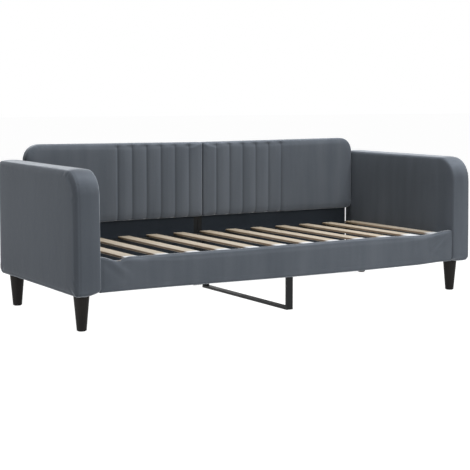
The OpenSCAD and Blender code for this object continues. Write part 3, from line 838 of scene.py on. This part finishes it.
def rail_form():
    """Velvet over the rail: a padded front, drawn tight over the upper and lower edges and stapled behind."""
    end = rail_high.x + RAIL_END
    xs = np.linspace(-end, end, int(2 * end / RAIL_STEP) + 1)
    xs = np.concatenate((xs[:1], xs[:1] + RAIL_END_LOOP, xs[1:-1], xs[-1:] - RAIL_END_LOOP, xs[-1:]))
    front = rail_low.y
    rear = rail_high.y
    behind = rear - front - RAIL_EDGE
    turns = [math.pi / 2 * k / RAIL_EDGE_STEPS for k in range(RAIL_EDGE_STEPS)]
    loops = []
    for x in xs:
        rear_top = max(float(rail_top(x)) - RAIL_SLOPE / 2, board_high.z + VELVET_T)
        top = rear_top - RAIL_SLOPE / 2
        bottom = float(rail_bottom(x))
        face = top - bottom - 2 * RAIL_EDGE
        ring = []
        for k in range(RAIL_FLAT_STEPS):
            ring.append((rear - behind * k / RAIL_FLAT_STEPS, bottom))
        for a in turns:
            ring.append((front + RAIL_EDGE * (1 - math.sin(a)), bottom + RAIL_EDGE * (1 - math.cos(a))))
        for k in range(RAIL_FACE_STEPS):
            ring.append((front, bottom + RAIL_EDGE + face * k / RAIL_FACE_STEPS))
        for a in turns:
            ring.append((front + RAIL_EDGE * (1 - math.cos(a)), top - RAIL_EDGE * (1 - math.sin(a))))
        for k in range(RAIL_FLAT_STEPS + 1):
            share = k / RAIL_FLAT_STEPS
            ring.append((front + RAIL_EDGE + behind * share, top + (rear_top - top) * share))
        loops.append([(x, y, z) for y, z in ring])
    return stacked_form("front_rail_cover", loops)


def crease(co, start, end, width, depth):
    """A soft fold in the face from start to end, both (X, Z): raised on one side and sunk on the other."""
    a = np.array(start)
    b = np.array(end)
    p = co[:, (0, 2)] - a
    along = np.clip(p @ (b - a) / ((b - a) @ (b - a)), 0, 1)
    direction = (b - a) / np.linalg.norm(b - a)
    side = p[:, 0] * direction[1] - p[:, 1] * direction[0]
    off = np.linalg.norm(p - along[:, None] * (b - a), axis=1)
    fade = np.sin(np.pi * np.clip(0.15 + 0.85 * along, 0, 1))
    return depth * fade * (side / width) * np.exp(-((off / width) ** 2))


def end_creases(co):
    """The folds that run in from both ends of the rail's face."""
    fold = np.zeros(len(co))
    for side in (-1, 1):
        for *ends, width, depth in RAIL_CREASES:
            start, end = [(side * (rail_high.x - x * MM), rail_low.z + z * MM) for x, z in ends]
            fold += crease(co, start, end, width * MM, side * depth * MM)
    return fold


def make_front_rail():
    """The rail's cover, creased at both ends, waved along its length and hemmed below."""
    piece = rail_form()
    co = points_of(piece.data)
    front = rail_low.y
    ends = smooth_step(12 * MM, 0, rail_high.x - np.abs(co[:, 0]))
    pinned = np.maximum(smooth_step(front + 8 * MM, front + 20 * MM, co[:, 1]), ends)
    inflate(piece, pinned, RAIL_SWELL)
    subdivide(piece)
    mesh = piece.data
    co = points_of(mesh)
    on_face = smooth_step(front + 12 * MM, front + 3 * MM, co[:, 1])
    height = (co[:, 2] - rail_low.z) / (rail_high.z - rail_low.z)
    waves = RAIL_WAVES * noise_at(co, (2.4, 1, 7), 3.7)
    crown = RAIL_CROWN * np.clip(4 * height * (1 - height), 0, 1)
    co[:, 1] -= (end_creases(co) + waves + crown - RAIL_CROWN) * on_face
    hem = bell(co[:, 2] - rail_bottom(co[:, 0]) - RAIL_HEM, 3 * MM) * on_face
    co[:, 1] += 0.8 * MM * hem
    set_points(mesh, co)
    # Painted shade along the hem, and painted shade that darkens the lit upper edge.
    painted_top_edge_shade = smooth_step(12 * MM, 4 * MM, rail_top(co[:, 0]) - co[:, 2])
    set_shade(mesh, 0.35 * hem + 0.45 * painted_top_edge_shade)
    settle(piece, "front_rail_upholstery", VELVET)


make_front_rail()


# ---------- Studio ----------

def area_light(name, place, aim, size, power, tint=(1, 1, 1)):
    """A rectangular lamp at place that points at aim; size in metres, power in watts."""
    data = bpy.data.lights.new(name, "AREA")
    data.shape = "RECTANGLE"
    data.size = size[0]
    data.size_y = size[1]
    data.energy = power
    data.color = tint
    lamp = bpy.data.objects.new(name, data)
    lamp.location = place
    lamp.rotation_euler = (Vector(aim) - Vector(place)).to_track_quat("-Z", "Y").to_euler()
    bpy.context.scene.collection.objects.link(lamp)


def seen_directly(tree):
    """1 for what the camera, a mirror or glass sees, 0 for soft light."""
    path = tree.nodes.new("ShaderNodeLightPath")
    total = path.outputs["Is Camera Ray"]
    for name in ("Is Glossy Ray", "Is Transmission Ray"):
        most = tree.nodes.new("ShaderNodeMath")
        most.operation = "MAXIMUM"
        tree.links.new(total, most.inputs[0])
        tree.links.new(path.outputs[name], most.inputs[1])
        total = most.outputs["Value"]
    return total


WORLD_LIGHT = 0.11
WHITE = (1, 1, 1, 1)


def make_world():
    """White where it is seen, and a weak soft light for everything else."""
    world = bpy.data.worlds.new("studio")
    bpy.context.scene.world = world
    world.use_nodes = True
    tree = world.node_tree
    tree.nodes.clear()
    light = tree.nodes.new("ShaderNodeBackground")
    light.inputs["Color"].default_value = WHITE
    light.inputs["Strength"].default_value = WORLD_LIGHT
    white = tree.nodes.new("ShaderNodeBackground")
    white.inputs["Color"].default_value = WHITE
    white.inputs["Strength"].default_value = 1.0
    mix = tree.nodes.new("ShaderNodeMixShader")
    out = tree.nodes.new("ShaderNodeOutputWorld")
    tree.links.new(seen_directly(tree), mix.inputs["Fac"])
    tree.links.new(light.outputs[0], mix.inputs[1])
    tree.links.new(white.outputs[0], mix.inputs[2])
    tree.links.new(mix.outputs[0], out.inputs["Surface"])


FLOOR_SIZE = 60.0
FLOOR_GLOW = 0.75
FLOOR_STRENGTH = 1.28
FLOOR_PAINT = (0.86, 0.86, 0.86, 1)


def make_floor():
    """A wide white floor that keeps the bed's shadow."""
    mesh = bpy.data.meshes.new("floor")
    bm = bmesh.new()
    bmesh.ops.create_grid(bm, x_segments=1, y_segments=1, size=FLOOR_SIZE)
    bm.to_mesh(mesh)
    bm.free()
    floor = add_object("floor", mesh)
    material = bpy.data.materials.new("white_floor")
    material.use_nodes = True
    tree = material.node_tree
    tree.nodes.clear()
    paint = tree.nodes.new("ShaderNodeBsdfDiffuse")
    paint.inputs["Color"].default_value = FLOOR_PAINT
    glow = tree.nodes.new("ShaderNodeEmission")
    glow.inputs["Strength"].default_value = FLOOR_STRENGTH
    share = tree.nodes.new("ShaderNodeMath")
    share.operation = "MULTIPLY"
    share.inputs[1].default_value = FLOOR_GLOW
    mix = tree.nodes.new("ShaderNodeMixShader")
    out = tree.nodes.new("ShaderNodeOutputMaterial")
    tree.links.new(seen_directly(tree), share.inputs[0])
    tree.links.new(share.outputs[0], mix.inputs["Fac"])
    tree.links.new(paint.outputs[0], mix.inputs[1])
    tree.links.new(glow.outputs[0], mix.inputs[2])
    tree.links.new(mix.outputs[0], out.inputs["Surface"])
    mesh.materials.append(material)


make_world()
make_floor()
area_light("key", (0.7, -7.0, 2.6), (0.0, 0.0, 0.4), (3.4, 2.6), 226, (1, 0.985, 0.96))
area_light("right", (1.3, -0.2, 3.2), (0.2, 0.0, 0.5), (2.4, 2.0), 62)
area_light("top", (0.0, 0.2, 3.2), (0.0, 0.0, 0.5), (4.0, 2.0), 85)
area_light("left", (-4.0, -0.6, 0.35), (-1.1, 0.0, 0.35), (1.8, 0.5), 30)
bpy.context.scene.view_settings.view_transform = "Standard"
